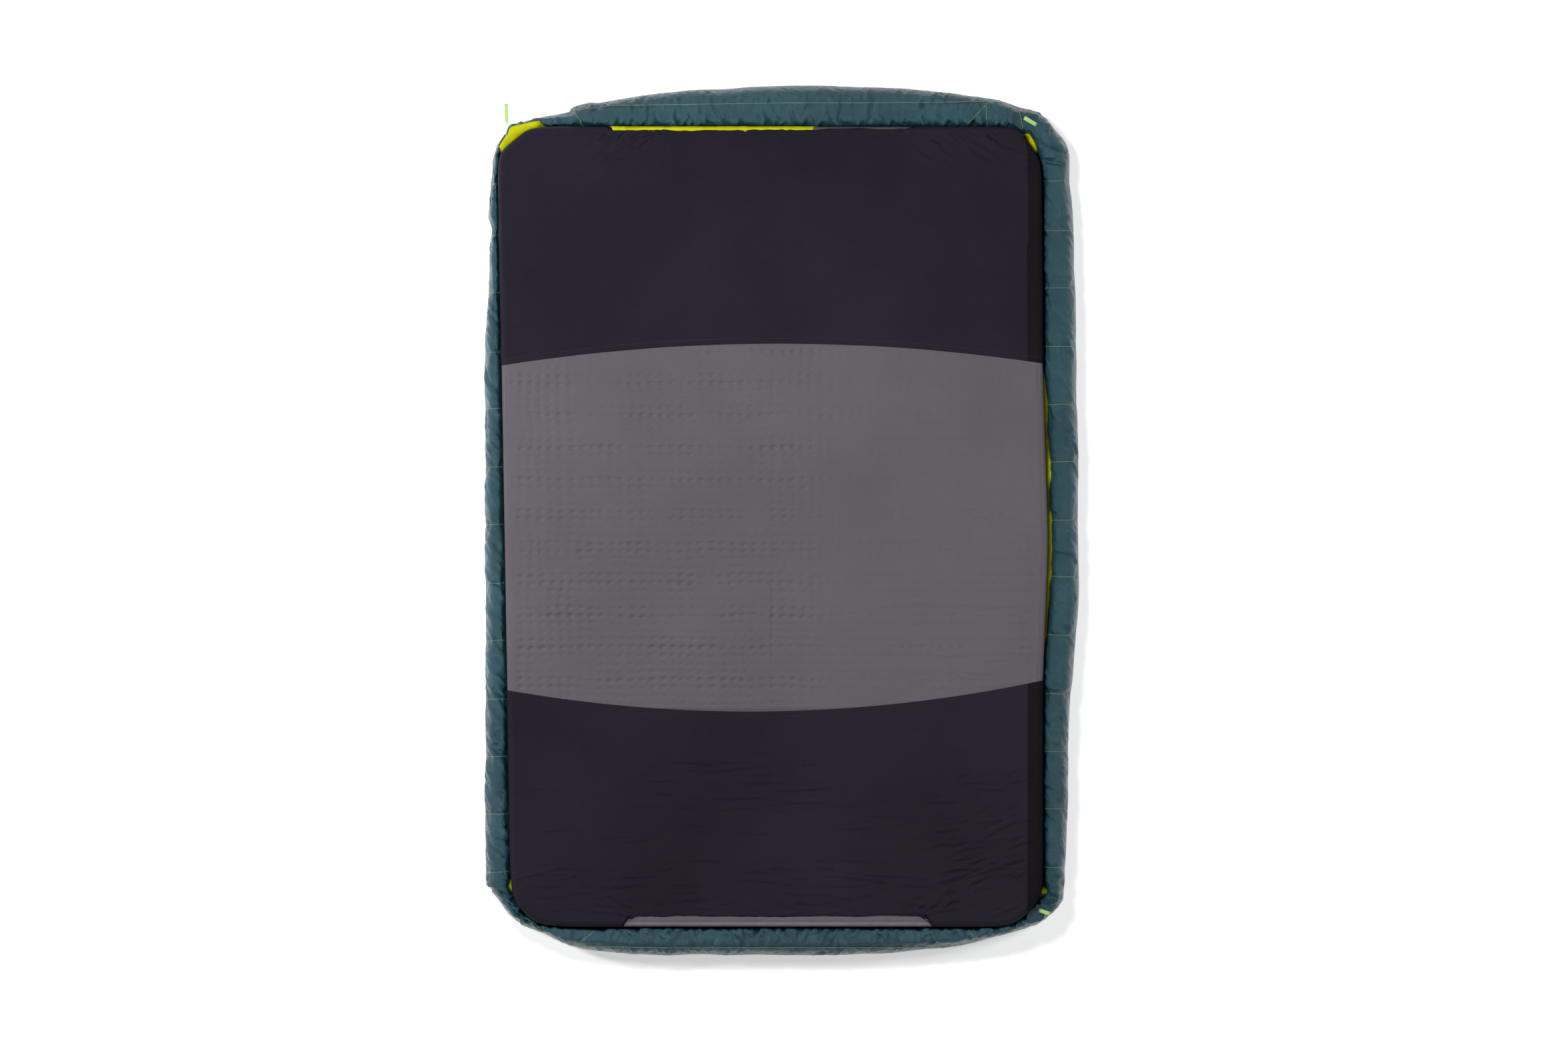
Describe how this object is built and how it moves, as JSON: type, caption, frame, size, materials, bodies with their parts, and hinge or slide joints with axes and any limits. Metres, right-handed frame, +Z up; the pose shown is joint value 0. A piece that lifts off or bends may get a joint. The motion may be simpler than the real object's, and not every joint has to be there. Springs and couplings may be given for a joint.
{
  "type": "camp quilt",
  "caption": "Two-person camp quilt lying face down, its underside pockets stretched over a double self-inflating sleeping pad, with tie loops at the corners.",
  "frame": {"origin": "on the floor under the middle of the whole object", "axes": "+X across the quilt, +Y towards the head end, +Z up from the floor"},
  "size_m": [1.4616, 2.1392, 0.1208],
  "materials": {
    "shell_taffeta": "glossy coated taffeta",
    "lining_taffeta": "matte taffeta",
    "batting": "lofted fibre",
    "thread": "spun thread",
    "pad_fabric": "coated, matte",
    "foam": "open-cell foam",
    "valve_plastic": "moulded, matte",
    "valve_rubber": "smooth",
    "cap_plastic": "moulded, fine texture",
    "pocket_nylon": "stretch nylon, soft sheen",
    "gusset_nylon": "stretch nylon, matte",
    "elastic": "knitted elastic",
    "loop_tape": "woven tape"
  },
  "bodies": {
    "quilt": {"outer_shell": "shell_taffeta", "insulation": "batting", "lining": "lining_taffeta", "quilting_stitches": "thread", "pad_side_wall": "pad_fabric", "pad_sleep_sheet": "pad_fabric", "pad_ground_sheet": "pad_fabric", "foam_core_left": "foam", "foam_core_right": "foam", "valve_body_left": "valve_plastic", "valve_body_right": "valve_plastic", "valve_seal_left": "valve_rubber", "valve_seal_right": "valve_rubber", "head_pocket_panel": "pocket_nylon", "head_gusset_left": "pocket_nylon", "head_gusset_right": "gusset_nylon", "head_hem": "pocket_nylon", "head_hem_elastic": "elastic", "head_end_binding": "pocket_nylon", "head_end_elastic": "elastic", "foot_pocket_panel": "pocket_nylon", "foot_gusset_left": "pocket_nylon", "foot_gusset_right": "gusset_nylon", "foot_hem": "pocket_nylon", "foot_hem_elastic": "elastic", "foot_end_binding": "pocket_nylon", "foot_end_elastic": "elastic", "loop_bartacks": "thread"},
    "loop_head_left": {"loop_head_left": "loop_tape"},
    "loop_head_right": {"loop_head_right": "loop_tape"},
    "loop_foot_left": {"loop_foot_left": "loop_tape"},
    "loop_foot_right": {"loop_foot_right": "loop_tape"},
    "valve_cap_left": {"valve_cap_left": "cap_plastic"},
    "valve_cap_right": {"valve_cap_right": "cap_plastic"}
  },
  "joints": [
    {"name": "loop_head_left_flop", "type": "hinge", "parent": "quilt", "child": "loop_head_left", "pos_m": [-0.676, 0.976, 0.078], "axis": [0.9994, 0.0349, 0], "range_deg": [-70, 80]},
    {"name": "loop_head_right_flop", "type": "hinge", "parent": "quilt", "child": "loop_head_right", "pos_m": [0.622, 0.971, 0.0932], "axis": [0.5, 0.866, 0], "range_deg": [0, 90]},
    {"name": "loop_foot_left_flop", "type": "hinge", "parent": "quilt", "child": "loop_foot_left", "pos_m": [-0.7132, -0.901, 0.06], "axis": [0, 1, 0], "range_deg": [0, 70]},
    {"name": "loop_foot_right_flop", "type": "hinge", "parent": "quilt", "child": "loop_foot_right", "pos_m": [0.634, -0.96, 0.0932], "axis": [-0.309, -0.9511, 0], "range_deg": [0, 60]},
    {"name": "valve_left_twist", "type": "hinge", "parent": "quilt", "child": "valve_cap_left", "pos_m": [-0.572, -0.907, 0.115], "axis": [0, 0, 1], "range_deg": [0, 90]},
    {"name": "valve_right_twist", "type": "hinge", "parent": "quilt", "child": "valve_cap_right", "pos_m": [0.55, -0.907, 0.115], "axis": [0, 0, 1], "range_deg": [0, 90]}
  ]
}
